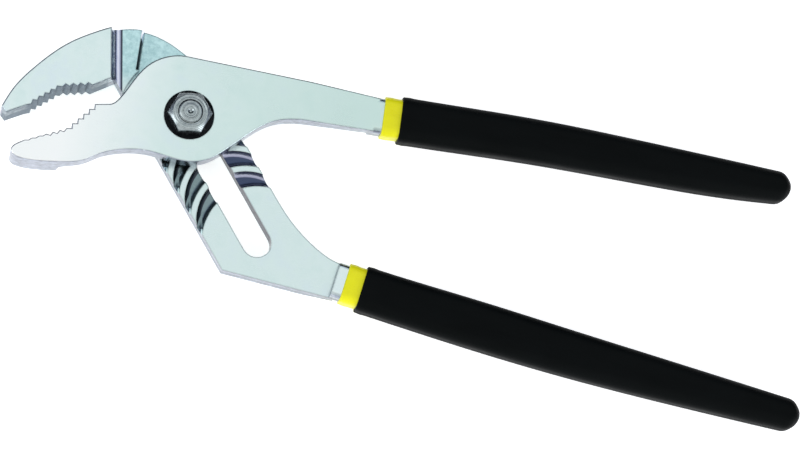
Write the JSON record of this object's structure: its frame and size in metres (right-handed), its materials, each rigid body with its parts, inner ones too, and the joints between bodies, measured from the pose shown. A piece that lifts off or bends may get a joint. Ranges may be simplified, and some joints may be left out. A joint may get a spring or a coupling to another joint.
{
  "type": "tongue and groove pliers",
  "caption": "Adjustable slip-joint pliers with toothed jaws, an arc-grooved slot, a sliding pivot bolt and double-dipped vinyl grips.",
  "frame": {"origin": "on the pivot axis at the outer face of the bolt's head, with the bolt in the top groove", "axes": "+X towards the handles, +Y from the slotted handle to the other one, +Z along the pivot bolt towards the nut"},
  "size_m": [0.2597, 0.0808, 0.0191],
  "materials": {
    "satin_chrome_steel": "satin nickel-chrome plate over forged steel",
    "zinc_steel": "turned and bright plated",
    "yellow_vinyl": "smooth dipped vinyl",
    "black_vinyl": "soft matte dipped vinyl"
  },
  "bodies": {
    "slotted_half": {"slotted_jaw_half": "satin_chrome_steel", "lower_handle_yellow_dip": "yellow_vinyl", "lower_handle_black_grip": "black_vinyl"},
    "pivot": {"pivot_bolt": "zinc_steel", "pivot_nut": "zinc_steel"},
    "tongue_half": {"tongue_jaw_half": "satin_chrome_steel", "upper_handle_yellow_dip": "yellow_vinyl", "upper_handle_black_grip": "black_vinyl"}
  },
  "joints": [
    {"name": "groove_slide", "type": "slide", "parent": "slotted_half", "child": "pivot", "axis": [0.6743, -0.7385, 0], "range_m": [0, 0.0435]},
    {"name": "jaw_pivot", "type": "hinge", "parent": "pivot", "child": "tongue_half", "pos_m": [0, 0, 0], "axis": [0, 0, 1], "range_deg": [-7, 40]}
  ]
}
